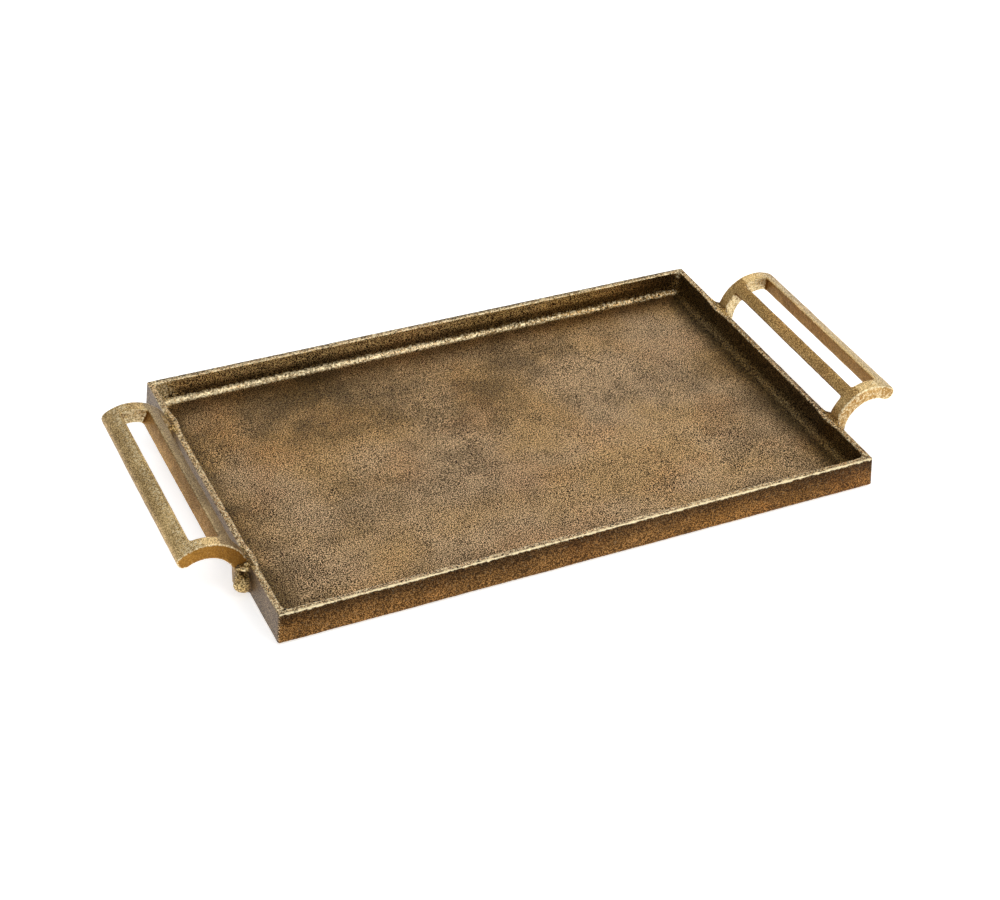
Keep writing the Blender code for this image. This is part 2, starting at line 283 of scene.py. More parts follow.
def pan_profile():
    """Rows of (inset, height, plan radius, wear, boss) along the cross-section."""
    bends = pan_bends()
    rows = [[*bends[0].at, 0, 0, 0]]
    for before, here, after in zip(bends, bends[1:], bends[2:]):
        arc = []
        for share, point in zip(np.linspace(0, 1, here.steps + 1), arc_of(before, here, after)):
            plan = here.plan[0] + (here.plan[1] - here.plan[0]) * share
            fade = math.sin(math.pi * share) ** 0.5 if 0 < share < 1 else 0.0
            arc.append([*point, plan, here.wear_and_highlight * fade, here.boss])
        rows += straight_rows(rows[-1], arc[0]) + arc[1:]
    return np.array(rows + straight_rows(rows[-1], [*bends[-1].at, 0, 0, 0]))


def straight_rows(start, finish):
    """Rows after the start, up to and with the finish."""
    steps = max(1, round(math.dist(start[:2], finish[:2]) / PROFILE_STEP))
    return np.linspace(start, finish, steps + 1)[1:].tolist()


def ring(inset, height, plan):
    """One ring round the pan, anticlockwise from above, from the left end of the front side."""
    x, y = RIM_HALF_LENGTH - inset, RIM_HALF_WIDTH - inset
    u, v = x - plan, y - plan
    straights = [
        ((-u, -y), (u, -y), ALONG_LENGTH),
        ((x, -v), (x, v), ALONG_WIDTH),
        ((u, y), (-u, y), ALONG_LENGTH),
        ((-x, v), (-x, -v), ALONG_WIDTH),
    ]
    centres = [(u, -v), (u, v), (-u, v), (-u, -v)]
    points = []
    for quarter, ((start, finish, count), centre) in enumerate(zip(straights, centres)):
        points.append(np.linspace(start, finish, count + 1))
        turn = math.pi / 2 * (quarter - 1 + np.arange(1, ROUND_CORNER) / ROUND_CORNER)
        points.append(np.array(centre) + plan * np.stack([np.cos(turn), np.sin(turn)], axis=1))
    flat = np.concatenate(points)
    return np.column_stack([flat, np.full(len(flat), height)])


def middle_of(inset, height, facing_up):
    """The flat middle of the floor or of the underside, as a grid that meets a ring."""
    xs = np.linspace(inset - RIM_HALF_LENGTH, RIM_HALF_LENGTH - inset, ALONG_LENGTH + 1)
    ys = np.linspace(inset - RIM_HALF_WIDTH, RIM_HALF_WIDTH - inset, ALONG_WIDTH + 1)
    grid_x, grid_y = np.meshgrid(xs, ys, indexing="ij")
    points = np.column_stack([grid_x.ravel(), grid_y.ravel(), np.full(grid_x.size, height)])
    ids = np.arange(grid_x.size).reshape(grid_x.shape)
    faces = np.stack([ids[:-1, :-1], ids[1:, :-1], ids[1:, 1:], ids[:-1, 1:]], axis=-1)
    faces = faces.reshape(-1, 4)
    return points, faces if facing_up else faces[:, ::-1]


def welded(points, faces, values):
    """Points that share a place made one. A face that collapses loses corners, or goes."""
    keys = np.round(points / WELD_STEP).astype(np.int64)
    _, first, index = np.unique(keys, axis=0, return_index=True, return_inverse=True)
    corners = [list(dict.fromkeys(face)) for face in index.reshape(-1)[faces].tolist()]
    return points[first], [face for face in corners if len(face) > 2], values[first]


def swept_pan():
    """The pan's points and faces, and how much wear it shows and how swollen it is at each point,
    before the bosses and the waves."""
    profile = pan_profile()
    rings = [ring(*row[:3]) for row in profile]
    count = len(rings[0])
    points = np.concatenate(rings)
    looks = np.repeat(profile[:, 3:], count, axis=0)
    here = np.arange(count)
    beside = (here + 1) % count
    band = np.stack([here, here + count, beside + count, beside], axis=1)
    faces = np.concatenate([band + count * lower for lower in range(len(rings) - 1)])
    for row, facing_up in ((profile[0], True), (profile[-1], False)):
        more_points, more_faces = middle_of(row[0], row[1], facing_up)
        faces = np.concatenate([faces, more_faces + len(points)])
        points = np.concatenate([points, more_points])
        looks = np.concatenate([looks, np.zeros((len(more_points), 2))])
    return welded(points, faces, looks)


def leg_places(side):
    """The middle of each leg of a handle, along Y."""
    low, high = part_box(f"{side}_handle")
    return low.y + END_STRIP / 2, high.y - END_STRIP / 2


def near_legs(points, spread):
    """From 1 beside the middle of a leg to 0 this far from it along Y, at the end walls."""
    share = np.zeros(len(points))
    for side, sign in (("left", -1), ("right", 1)):
        at_end = points[:, 0] * sign > RIM_HALF_LENGTH - 3 * RIM_WIDTH
        for leg_y in leg_places(side):
            close = np.clip(1 - np.abs(points[:, 1] - leg_y) / spread, 0, 1)
            share = np.maximum(share, at_end * smooth_step(0, 1, close))
    return share


def inner_side(points):
    """The inset from the rim's outer edge, and whether the nearest wall is the right or back."""
    inset_x = RIM_HALF_LENGTH - np.abs(points[:, 0])
    inset_y = RIM_HALF_WIDTH - np.abs(points[:, 1])
    right = (inset_x < inset_y) & (points[:, 0] > 0)
    back = (inset_x >= inset_y) & (points[:, 1] > 0)
    return np.minimum(inset_x, inset_y), right, back


def graded(pair, share):
    """A look that starts at the pair's first number and gains this share of its second."""
    return pair[0] + pair[1] * share


def patina_and_shade_of(points):
    """How dark the pan's inside is: painted shade on the walls, darkest on the right wall, a floor
    that darkens towards the walls, most beside the right wall, a stain on the floor, and a dark line
    along the back rim's outer edge.
    """
    inset, right, back = inner_side(points)
    above = points[:, 2] - FLOOR_HEIGHT
    below_rim = PAN_HEIGHT - points[:, 2]
    along = 0.5 + 0.5 * points[:, 0] / RIM_HALF_LENGTH
    inside = (inset > RIM_WIDTH - 0.4 * MM) & (above > -0.5 * MM)

    # Painted shade: the inner walls darker, most of all the right one
    wall = smooth_step(2.5 * MM, 6 * MM, above) * smooth_step(0.2 * MM, 2 * MM, inset - RIM_WIDTH)
    on_back = graded(BACK_WALL_DARK, along) * graded(BACK_WALL_TOP, smooth_step(0, 9 * MM, below_rim))
    on_wall = np.where(right, RIGHT_WALL_DARK, np.where(back, on_back, NEAR_WALLS_DARK))

    left = ~right & ~back & (points[:, 0] < -0.7 * RIM_HALF_LENGTH)
    near_floor = NEAR_FLOOR_DARK + LEFT_FLOOR_MORE * left
    on_floor = np.where(back, graded(BACK_FLOOR_DARK, along), near_floor)
    on_floor = np.where(right, RIGHT_FLOOR_DARK, on_floor)
    edges = np.minimum(np.exp((FLOOR_EDGE - inset) / EDGE_FADE), 1) * on_floor

    stain_x = (points[:, 0] / RIM_HALF_LENGTH - STAIN_MIDDLE[0]) / STAIN_SPREAD[0]
    stain_y = (points[:, 1] / RIM_HALF_WIDTH - STAIN_MIDDLE[1]) / STAIN_SPREAD[1]
    stain = STAIN_DARK * np.exp(-(stain_x**2) - stain_y**2)

    patina = inside * (wall * on_wall + (1 - wall) * np.maximum(edges, stain))
    back_edge = back * (inset < 1.6 * MM) * (below_rim < MM)
    return np.maximum(patina, BACK_EDGE_DARK * back_edge)


def from_corner(points, sign):
    """How far a point is from a back inner corner, seen from above."""
    corner = np.array((sign * (RIM_HALF_LENGTH - RIM_WIDTH), RIM_HALF_WIDTH - RIM_WIDTH))
    return np.hypot(*(points[:, :2] - corner).T)


def fillet_highlight(points):
    """Painted highlight: the bright band along the back wall's fillet, stronger to the left, and the
    two corners at its ends.
    """
    inset, _, back = inner_side(points)
    above = points[:, 2] - FLOOR_HEIGHT
    leftwards = 0.5 - 0.5 * points[:, 0] / RIM_HALF_LENGTH
    band = smooth_step(0.1 * MM, 0.7 * MM, above) * smooth_step(6.0 * MM, 3.0 * MM, above)
    in_fillet = back & (inset > RIM_WIDTH) & (inset < FLOOR_EDGE + MM)
    inside = (inset > RIM_WIDTH) & (above > 0)
    at_left = LEFT_CORNER_HIGHLIGHT * smooth_step(19 * MM, 9 * MM, from_corner(points, -1))
    at_right = RIGHT_CORNER_HIGHLIGHT * smooth_step(5 * MM, 3 * MM, from_corner(points, 1))
    corners = np.maximum(at_left, at_right) * inside
    return np.maximum(band * in_fillet * graded(FILLET_HIGHLIGHT, leftwards), corners)


def gold_glints(points, dark):
    """How many painted gold glints show: most on the upper back wall and round its left end, fewer
    on the left wall, and a few wherever the inside is dark."""
    inset, right, back = inner_side(points)
    above = points[:, 2] - FLOOR_HEIGHT
    along = 0.5 + 0.5 * points[:, 0] / RIM_HALF_LENGTH
    inside = (inset > RIM_WIDTH - 0.6 * MM) & (above > 0.3 * MM)
    upper = 0.25 + 0.75 * smooth_step(7 * MM, 14 * MM, above)
    on_back = back * inside * upper * smooth_step(1.0, 0.75, along)
    left = ~right & ~back & (points[:, 0] < -0.9 * (RIM_HALF_LENGTH - RIM_WIDTH))
    on_left = 0.45 * left * smooth_step(1.5 * MM, 4.5 * MM, inset) * (above > 0)
    at_left = smooth_step(32 * MM, 12 * MM, from_corner(points, -1)) * inside
    return np.maximum(np.maximum(on_back, on_left), np.maximum(at_left, 0.35 * dark))


def on_front(points, inset):
    """Whether a point is nearest to the front wall."""
    inset_y = RIM_HALF_WIDTH - np.abs(points[:, 1])
    return (inset_y <= inset + 0.01 * MM) & (points[:, 1] < 0)


def pan_wear_and_highlights(points, wear_and_highlight):
    """The wear that the pan shows, from its bends and on the rim's top, and its painted highlights:
    the front edges brighter than every other edge, the back fillet, and a line along the inside of
    the back rim.
    """
    inset, _, back = inner_side(points)
    # The front edges keep their full value and every other edge less: the front edges' extra is a
    # painted highlight
    wear_and_highlight = np.where(on_front(points, inset), wear_and_highlight, BEHIND_FRONT_SHARE * wear_and_highlight)
    on_top = smooth_step(-MM, -0.3 * MM, points[:, 2] - PAN_HEIGHT)
    # Painted highlight along the inside of the back rim
    inner_line = back * smooth_step(3.2 * MM, 4.4 * MM, inset) * (inset < 5.5 * MM)
    rim_top = on_top * np.maximum(RIM_TOP_WORN, INNER_LINE_HIGHLIGHT * inner_line)
    return np.maximum(np.maximum(wear_and_highlight, fillet_highlight(points)), rim_top)


def make_pan(material):
    points, faces, looks = swept_pan()
    wear_and_highlight, boss = looks.T
    wear_and_highlight = pan_wear_and_highlights(points, wear_and_highlight)
    dark = patina_and_shade_of(points)
    gold = gold_glints(points, dark)
    inset = inner_side(points)[0]
    from_edge = inset / MM + np.where(on_front(points, inset), 0, 3)
    swelling = BOSS_RISE * boss * near_legs(points, BOSS_SPREAD)
    points[:, 0] -= np.sign(points[:, 0]) * swelling
    points[:, 2] += pan_low.z
    normals = vertex_normals(points, faces)
    lift = waves(points, CAST_WAVES, seed=1) + wear_and_highlight * waves(points, RIM_WAVES, seed=5)
    lift -= LEG_DIP * wear_and_highlight * near_legs(points, LEG_DIP_SPREAD)
    points += normals * lift[:, None]
    points[:, 2] = np.maximum(points[:, 2], pan_low.z)
    channels = {
        "wear_and_highlight": wear_and_highlight,
        "dark": dark,
        "gold": gold,
        # Painted shade: the end walls' outer faces greyer and darker
        "grey": smooth_step(0.7, 0.95, normals[:, 0] * np.sign(points[:, 0])),
        # Painted reflection: the front and back walls' outer faces take a warmer tint, darker under
        # the rim
        "warm": smooth_step(0.7, 0.95, normals[:, 1] * np.sign(points[:, 1])),
        "low": 1 - (points[:, 2] - pan_low.z) / PAN_HEIGHT,
        "from_edge": from_edge,
    }
    return make_piece("tray_pan_cast", points, faces, channels, material, ["tray_pan"])


# ------------------------------------------------------------------ fields


def round_max(a, b, radius):
    """Where both fields are negative, with this radius on the edge between them."""
    corner = np.hypot(np.maximum(a + radius, 0), np.maximum(b + radius, 0))
    return np.minimum(np.maximum(a, b), -radius) + corner


def round_min(a, b, radius):
    """Where either field is negative, with this radius in the hollow between them."""
    return -round_max(-a, -b, radius)


def gradient(field, points, reach=0.05 * MM):
    slope = np.empty_like(points)
    for axis, offset in enumerate(np.eye(3) * reach):
        slope[:, axis] = (field(points + offset) - field(points - offset)) / (2 * reach)
    return slope


def bulge(field, points, reach):
    """How strongly the surface curves at this scale: positive on edges, negative in hollows."""
    around = [field(points + way * offset) for offset in np.eye(3) * reach for way in (-1, 1)]
    return (sum(around) - 6 * field(points)) / reach


def surface_of(field, low, high, step):
    """Surface nets: a point in each cell that the zero surface crosses, moved onto it, and a
    quad across each grid edge that it crosses."""
    axes = [np.arange(a, b + step, step) for a, b in zip(low, high)]
    nodes = np.stack(np.meshgrid(*axes, indexing="ij"), axis=-1)
    inside = field(nodes) < 0
    last = np.array(inside.shape) - 1
    corners = np.zeros(last, int)
    for i, j, k in np.ndindex(2, 2, 2):
        corners += inside[i : last[0] + i, j : last[1] + j, k : last[2] + k]
    crossed = (corners > 0) & (corners < 8)
    ids = np.full(crossed.shape, -1)
    ids[crossed] = np.arange(crossed.sum())
    points = nodes[:-1, :-1, :-1][crossed] + step / 2
    for _ in range(6):
        slope = gradient(field, points)
        share = field(points) / np.maximum((slope * slope).sum(1), 0.1)
        points -= np.clip(share, -step, step)[:, None] * slope
    faces = []
    for axis in range(3):
        across, up = (axis + 1) % 3, (axis + 2) % 3
        along = np.moveaxis(inside, axis, 0)
        changes = np.moveaxis(along[:-1] != along[1:], 0, axis)
        edges = np.argwhere(changes)
        cells = []
        for back_across, back_up in ((1, 1), (0, 1), (0, 0), (1, 0)):
            cell = edges.copy()
            cell[:, across] -= back_across
            cell[:, up] -= back_up
            cells.append(ids[tuple(cell.T)])
        quads = np.stack(cells, axis=1)
        faces.append(np.where(inside[tuple(edges.T)][:, None], quads, quads[:, ::-1]))
    return points, np.concatenate(faces)


# ------------------------------------------------------------------ handles and braze
# A field takes an array of points p. In it X points outwards from the rim's outer face, and Z is
# up from the pan's underside.

right_low, right_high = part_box("right_handle")
HANDLE_LENGTH = right_high.y - right_low.y
HANDLE_PLACES = {side: sum(leg_places(side)) / 2 for side in ("left", "right")}
ARCH_PEAK = right_high.z - pan_low.z
ARCH_START = right_low.x - RIM_HALF_LENGTH
outer_x, outer_z = ARCH_START + ARCH_OUTER_RADIUS, ARCH_PEAK - ARCH_OUTER_RADIUS
inner_x = ARCH_START + LEG_THICKNESS + ARCH_INNER_RADIUS
inner_z = ARCH_PEAK - STRAP_THICKNESS - ARCH_INNER_RADIUS


def beyond_ray(p, angle):
    """How far past a ray from the outer arc's centre, going round from the tip to the wall."""
    return (p[..., 2] - outer_z) * math.cos(angle) - (p[..., 0] - outer_x) * math.sin(angle)


def strap_thickness_at(angle):
    dx, dz = inner_x - outer_x, inner_z - outer_z
    along = dx * math.cos(angle) + dz * math.sin(angle)
    across = dz * math.cos(angle) - dx * math.sin(angle)
    return ARCH_OUTER_RADIUS - along - math.sqrt(ARCH_INNER_RADIUS**2 - across**2)


def arch_side(p):
    """The arch from the side: a leg, then a strap between two arcs that ends in a round nose."""
    x, z = p[..., 0], p[..., 2]
    outer_arc = np.hypot(x - outer_x, z - outer_z) - ARCH_OUTER_RADIUS
    inner_arc = ARCH_INNER_RADIUS - np.hypot(x - inner_x, z - inner_z)
    outer = np.where(z > outer_z, outer_arc, outer_x - ARCH_OUTER_RADIUS - x)
    inner = np.where(z > inner_z, inner_arc, x - inner_x + ARCH_INNER_RADIUS)
    strap = np.maximum(np.maximum(outer, inner), -beyond_ray(p, TIP_ANGLE))
    radius = strap_thickness_at(TIP_ANGLE) / 2
    nose_x = outer_x + (ARCH_OUTER_RADIUS - radius) * math.cos(TIP_ANGLE)
    nose_z = outer_z + (ARCH_OUTER_RADIUS - radius) * math.sin(TIP_ANGLE)
    return np.minimum(strap, np.hypot(x - nose_x, z - nose_z) - radius)


def handle_field(p):
    """One pierced handle, about the middle of its length."""
    from_middle = np.abs(p[..., 1])
    solid = round_max(arch_side(p), from_middle - HANDLE_LENGTH / 2, END_EDGE_ROUND)
    solid = round_max(solid, LEG_LIFT - p[..., 2], LEG_FOOT_ROUND)
    between_legs = from_middle - (HANDLE_LENGTH / 2 - END_STRIP)
    rail_face = outer_x + ARCH_OUTER_RADIUS * math.cos(OUTER_RAIL_EDGE)
    window = np.maximum(p[..., 0] - rail_face, beyond_ray(p, MIDDLE_RAIL_OUTER_EDGE))
    window = round_max(window, between_legs, WINDOW_CORNER_ROUND)
    rim_gap = round_max(-beyond_ray(p, MIDDLE_RAIL_INNER_EDGE), between_legs, WINDOW_CORNER_ROUND)
    solid = round_max(solid, -window, WINDOW_EDGE_ROUND)
    return round_max(solid, -rim_gap, WINDOW_EDGE_ROUND)


def wall_side(p):
    """The end wall's outer face, which leans in from its foot to the rim."""
    return p[..., 0] - BASE_FLARE * (1 - p[..., 2] / PAN_HEIGHT)


def rim_field(p):
    """The pan's end wall, with a rounded foot."""
    block = round_max(wall_side(p), p[..., 2] - PAN_HEIGHT, RIM_OUTER_ROUND)
    block = round_max(block, 0.3 * MM - p[..., 2], 1.6 * BASE_ROUND)
    return round_max(block, -RIM_WIDTH - BOSS_RISE - p[..., 0], RIM_INNER_ROUND)


def leg_field(p, leg):
    """One leg, and the part of the arch above it."""
    across = np.abs(p[..., 1] - leg.y) - END_STRIP / 2
    side = arch_side(p + np.array((leg.closer, 0, 0)))
    return round_max(round_max(side, across, END_EDGE_ROUND), LEG_LIFT - p[..., 2], LEG_FOOT_ROUND)


def flare_field(p, leg):
    """The braze that widens a leg's root towards the wall, up to the rim's height."""
    outer_face = p[..., 0] - LEG_THICKNESS + leg.closer
    post = np.maximum(np.abs(p[..., 1] - leg.y) - END_STRIP / 2, outer_face)
    hollow = round_min(wall_side(p), post, FLARE_ROUND)
    capped = round_max(hollow, p[..., 2] - PAN_HEIGHT - FLARE_RISE, RIM_OUTER_ROUND)
    return round_max(capped, LEG_LIFT - p[..., 2], 2 * LEG_FOOT_ROUND)


def drop_field(p, centre, radii):
    """A rounded drop of metal."""
    scaled = (p - np.array(centre)) / np.array(radii)
    return (np.sqrt((scaled * scaled).sum(-1)) - 1) * min(radii)


def braze_metal(p, leg):
    """Wall, leg and braze as one body."""
    metal = round_min(rim_field(p), leg_field(p, leg), ROOT_ROUND)
    metal = round_min(metal, flare_field(p, leg), FLARE_BLEND)
    for centre, radii in leg.drops:
        metal = round_min(metal, drop_field(p, centre, radii), DROP_BLEND)
    return metal


def under_braze(p, leg):
    """Wall and leg without the braze."""
    return np.minimum(rim_field(p), leg_field(p, leg))


def braze_sink(p, leg):
    """How far the braze lies below its full shape. It grows towards its edges, which it hides,
    and where the braze would add almost nothing to a leg."""
    bare = smooth_step(0.5 * MM, 0.1 * MM, under_braze(p, leg))
    bare = bare * smooth_step(2 * MM, 5 * MM, p[..., 0])
    inwards = smooth_step(-0.3 * RIM_WIDTH, -0.8 * RIM_WIDTH, p[..., 0])
    along = np.abs(p[..., 1] - leg.y) - END_STRIP / 2
    outwards = smooth_step(0.6 * BRAZE_SPREAD, BRAZE_SPREAD, along)
    return BRAZE_SINK + BRAZE_EDGE_SINK * np.maximum(np.maximum(inwards, outwards), bare)


def braze_field(p, leg):
    """The braze alone, down to just below the surfaces that it covers."""
    shell = np.maximum(braze_metal(p, leg) + braze_sink(p, leg), -under_braze(p, leg) - BRAZE_DEPTH)
    shell = np.maximum(shell, -0.85 * RIM_WIDTH - p[..., 0])
    ends = np.abs(p[..., 1] - leg.y) - END_STRIP / 2 - BRAZE_SPREAD
    top = p[..., 2] - PAN_HEIGHT - BRAZE_TOP
    return np.maximum(np.maximum(shell, ends), np.maximum(top, p[..., 0] - BRAZE_REACH))


def to_world(points, side):
    """From a handle's frame, about the middle of its length, to the tray's frame."""
    sign = 1 if side == "right" else -1
    turned = points * np.array((sign, sign, 1))
    return turned + np.array((sign * RIM_HALF_LENGTH, HANDLE_PLACES[side], pan_low.z))


def handle_channels(points, slope, side):
    """How a handle looks at each point of its plain shape, whose field has this slope."""
    look = HANDLE_LOOKS[side]
    curve = bulge(handle_field, points, 1.2 * MM)
    height = points[:, 2] / ARCH_PEAK
    on_leg = smooth_step(0.62, 0.45, height)
    near_wall = beyond_ray(points, math.radians(112)) > 0
    at_tip = points[:, 0] > outer_x + 0.35 * ARCH_OUTER_RADIUS
    at_end = smooth_step(3 * MM, 1 * MM, HANDLE_LENGTH / 2 - np.abs(points[:, 1]))
    facing_along = smooth_step(0.6, 0.9, np.abs(slope[:, 1]))
    end_face = facing_along * at_end
    window_end = facing_along * (1 - at_end)

    # Painted shade: the lower legs, the outer faces of the tips and, on the left handle, the upward
    # faces near the wall greyer and darker
    grey = 0.4 * smooth_step(0.45, 0.2, height) + 0.25 * at_tip * smooth_step(0.5, 0.8, slope[:, 0])
    grey += look.back_grey * near_wall * smooth_step(0.5, 0.65, slope[:, 2])

    nose = at_tip * smooth_step(0.2, 0.6, slope[:, 0])
    side_face = smooth_step(0.9, 0.1, slope[:, 2]) * (1 - window_end)
    side_face = side_face * (1 - 0.75 * nose) * (1 - 0.45 * on_leg)

    on_edge = smooth_step(0.15, 0.8, curve) * (0.2 + 0.5 * at_end) * (1 - 0.75 * on_leg)
    # Painted highlight: a band along the top of the arch's outer side, where it catches the light
    crown_highlight = smooth_step(0.84, 0.95, slope[:, 2]) * (points[:, 0] > outer_x) * (curve < 0.15)
    wear_and_crown_highlight = np.maximum(on_edge, 0.42 * crown_highlight)

    shaded = look.top_shade * near_wall * smooth_step(0.7, 0.9, height)
    return {
        # Painted highlights on the window ends, and on the right handle's end faces
        "wear_and_highlight": wear_and_crown_highlight + 0.6 * window_end + look.end_highlight * end_face,
        # Patina in the hollows, and the painted shade high up near the wall
        "dark": np.maximum(smooth_step(0.1, 0.5, -curve), shaded),
        "gold": np.zeros(len(points)),
        "grey": np.minimum(grey, 1),
        # Painted light: warm tints on the end faces and the side faces
        "warm": np.maximum(look.end_warm * end_face, look.side_warm * side_face),
        "low": np.ones(len(points)),
        "from_edge": np.full(len(points), FAR_FROM_EDGE),
    }


def make_handle(side, material):
    margin = 2 * MM
    low = (ARCH_START - margin, -HANDLE_LENGTH / 2 - margin, -margin)
    high = (right_high.x - RIM_HALF_LENGTH + margin, HANDLE_LENGTH / 2 + margin, ARCH_PEAK + margin)
    points, faces = surface_of(handle_field, low, high, HANDLE_STEP)
    slope = gradient(handle_field, points)
    world = to_world(points, side)
    lift = waves(world, CAST_WAVES, seed=3) + waves(world, HANDLE_WAVES, seed=7)
    closer = np.array((CLOSER[side], 0, 0))
    world = to_world(points + slope * lift[:, None] - closer, side)
    channels = handle_channels(points, slope, side)
    name = f"{side}_handle_cast"
    return make_piece(name, world, faces, channels, material, [f"{side}_handle"])


def make_braze(name, side, leg, material):
    margin = 1.5 * MM
    half = END_STRIP / 2 + BRAZE_SPREAD + margin
    low = (-RIM_WIDTH - BOSS_RISE - margin, leg.y - half, -margin)
    high = (BRAZE_REACH + margin, leg.y + half, PAN_HEIGHT + BRAZE_TOP + margin)
    points, faces = surface_of(lambda p: braze_field(p, leg), low, high, BRAZE_STEP)
    slope = gradient(lambda p: braze_field(p, leg), points)
    added = under_braze(points, leg) + BRAZE_SINK
    thick = smooth_step(0.3 * MM, 2.5 * MM, added)
    curve = bulge(lambda p: braze_metal(p, leg), points, 1.0 * MM)
    world = to_world(points, side)
    lift = waves(world, BRAZE_WAVES, seed=11) * smooth_step(0, 1.5 * MM, added)
    world = to_world(points + slope * lift[:, None], side)
    channels = {
        "wear_and_highlight": 0.6 * smooth_step(0.1, 0.6, curve) * thick,
        "dark": 0.7 * smooth_step(0.0, 0.35, -curve),
        "gold": 0.3 * thick,
        # Painted shade: thin braze on steep faces takes the legs' greyer tone
        "grey": (1 - thick) * smooth_step(0.8, 0.4, slope[:, 2]),
        "warm": np.zeros(len(points)),
        "low": 1 - points[:, 2] / PAN_HEIGHT,
        "from_edge": np.full(len(points), FAR_FROM_EDGE),
    }
    return make_piece(f"{name}_rough", world, faces, channels, material, [name])


def make_brazes(material):
    """A lump of braze on each leg. The left front one is the roughest."""
    for side, sign in (("left", -1), ("right", 1)):
        for outwards in (-1, 1):
            row = "back" if outwards * sign > 0 else "front"
            name = f"{side}_{row}_braze"
            end = outwards * HANDLE_LENGTH / 2
            drops = ROUGH_DROPS if name == "left_front_braze" else PLAIN_DROPS
            drops = [((x, end + outwards * y, z), radii) for (x, y, z), radii in drops]
            middle = end - outwards * END_STRIP / 2
            leg = SimpleNamespace(y=middle, closer=CLOSER[side], drops=drops)
            make_braze(name, side, leg, material)


# ------------------------------------------------------------------ felt pads


def make_pads(material):
    """Each pad is a turned disc with a soft edge and a slightly uneven outline."""
    turns = np.linspace(0, 2 * math.pi, PAD_SIDES, endpoint=False)
    here = np.arange(PAD_SIDES)
    beside = (here + 1) % PAD_SIDES
    band = np.stack([here, beside, beside + PAD_SIDES, here + PAD_SIDES], axis=1)
    for name in sorted(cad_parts):
        if not name.endswith("foot_pad"):
            continue
        low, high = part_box(name)
        centre, radius, height = (low + high) / 2, (high.x - low.x) / 2, high.z - low.z
        rings = []
        for out, up in PAD_PROFILE:
            across, along = radius * out * np.cos(turns), radius * out * np.sin(turns)
            rings.append(np.stack([across, along, np.full(PAD_SIDES, height * up)], axis=1))
        points = np.concatenate(rings) + np.array((centre.x, centre.y, low.z))
        faces = np.concatenate([band + PAD_SIDES * lower for lower in range(len(rings) - 1)])
        points, faces, _ = welded(points, faces, np.zeros(len(points)))
        points[:, :2] += waves(points, PAD_WAVES, seed=21)[:, None]
        make_piece(f"{name}_felt", points, faces, {}, material, [name])


# ------------------------------------------------------------------ materials

# Colours of the brass, and tints that multiply it. Several paint light and shade: the gold of
# painted glints, the pale of wear and painted highlights, the grey of painted shade, and the tint
# of painted shade under the rim
GOLD = (0.92, 0.63, 0.25, 1)
RUBBED_AND_HIGHLIGHT = (0.95, 0.80, 0.50, 1)
GREY = (0.095, 0.064, 0.042, 1)
DARK_TINT = (1.0, 0.80, 0.48, 1)
YELLOW_TINT = (1.0, 0.90, 0.62, 1)
RED_TINT = (1.0, 0.80, 0.66, 1)
# Painted shade: the darker tint just under the rim on faces marked warm
UNDER_RIM_SHADE = (0.34, 0.25, 0.15, 1)

# Sizes of the brass's features
GLINT_SIZE = 0.85 * MM
SPARKLE_SIZE = 1.5 * MM
PATCH_SIZE = 1.9 * MM
RAGGED_SIZE = 4 * MM
CLOUD_SIZE = 20 * MM
RED_ZONE = 60 * MM
BLOTCH_SIZE = 75 * MM
YELLOW_ZONE = 110 * MM
GRAIN_DEPTH = 0.45 * MM
FIBRE_SIZE = 0.5 * MM
FIBRE_DEPTH = 0.3 * MM


class Graph:
    """A material's nodes. An input is a number, a colour, or another node's output."""

    def __init__(self, name):
        self.material = bpy.data.materials.new(name)
        self.material.use_nodes = True
        self.tree = self.material.node_tree
        self.shader = self.tree.nodes["Principled BSDF"]

    def node(self, kind, inputs=(), **settings):
        node = self.tree.nodes.new("ShaderNode" + kind)
        for setting, value in settings.items():
            setattr(node, setting, value)
        for socket, value in dict(inputs).items():
            self.feed(node.inputs[socket], value)
        return node

    def feed(self, socket, value):
        if isinstance(value, bpy.types.NodeSocket):
            self.tree.links.new(value, socket)
        else:
            socket.default_value = value

    def maths(self, operation, a, b):
        return self.node("Math", {0: a, 1: b}, operation=operation).outputs[0]

    def times(self, a, b):
        return self.maths("MULTIPLY", a, b)

    def plus(self, a, b):
        return self.maths("ADD", a, b)

    def noise(self, size, detail=2.0, roughness=0.5, offset=0.0):
        """Noise from 0 to 1 whose features are about this size."""
        place = self.node("TexCoord").outputs["Object"]
        moved = self.node("VectorMath", {0: place, 1: (offset, offset, offset)}).outputs[0]
        inputs = {"Vector": moved, "Scale": 1 / size, "Detail": detail, "Roughness": roughness}
        return self.node("TexNoise", inputs).outputs["Fac"]

    def blend(self, first, second, share):
        """The first value, with this share of the second."""
        inputs = {"Factor": share, "A": first, "B": second}
        return self.node("Mix", inputs).outputs["Result"]

    def attribute(self, name):
        return self.node("Attribute", attribute_name=name).outputs["Fac"]

    def span(self, value, low, high, to_low=0.0, to_high=1.0):
        """The value's place between low and high, smoothed, as a share from to_low to to_high."""
        inputs = {"Value": value, 1: low, 2: high, 3: to_low, 4: to_high}
        return self.node("MapRange", inputs, interpolation_type="SMOOTHSTEP").outputs[0]

    def mix(self, share, first, second, how="MIX"):
        node = self.node("Mix", data_type="RGBA", blend_type=how)
        for socket, value in ((0, share), (6, first), (7, second)):
            self.feed(node.inputs[socket], value)
        return node.outputs[2]

    def bump(self, height, strength, distance):
        inputs = {"Height": height, "Strength": strength, "Distance": distance}
        self.feed(self.shader.inputs["Normal"], self.node("Bump", inputs).outputs[0])


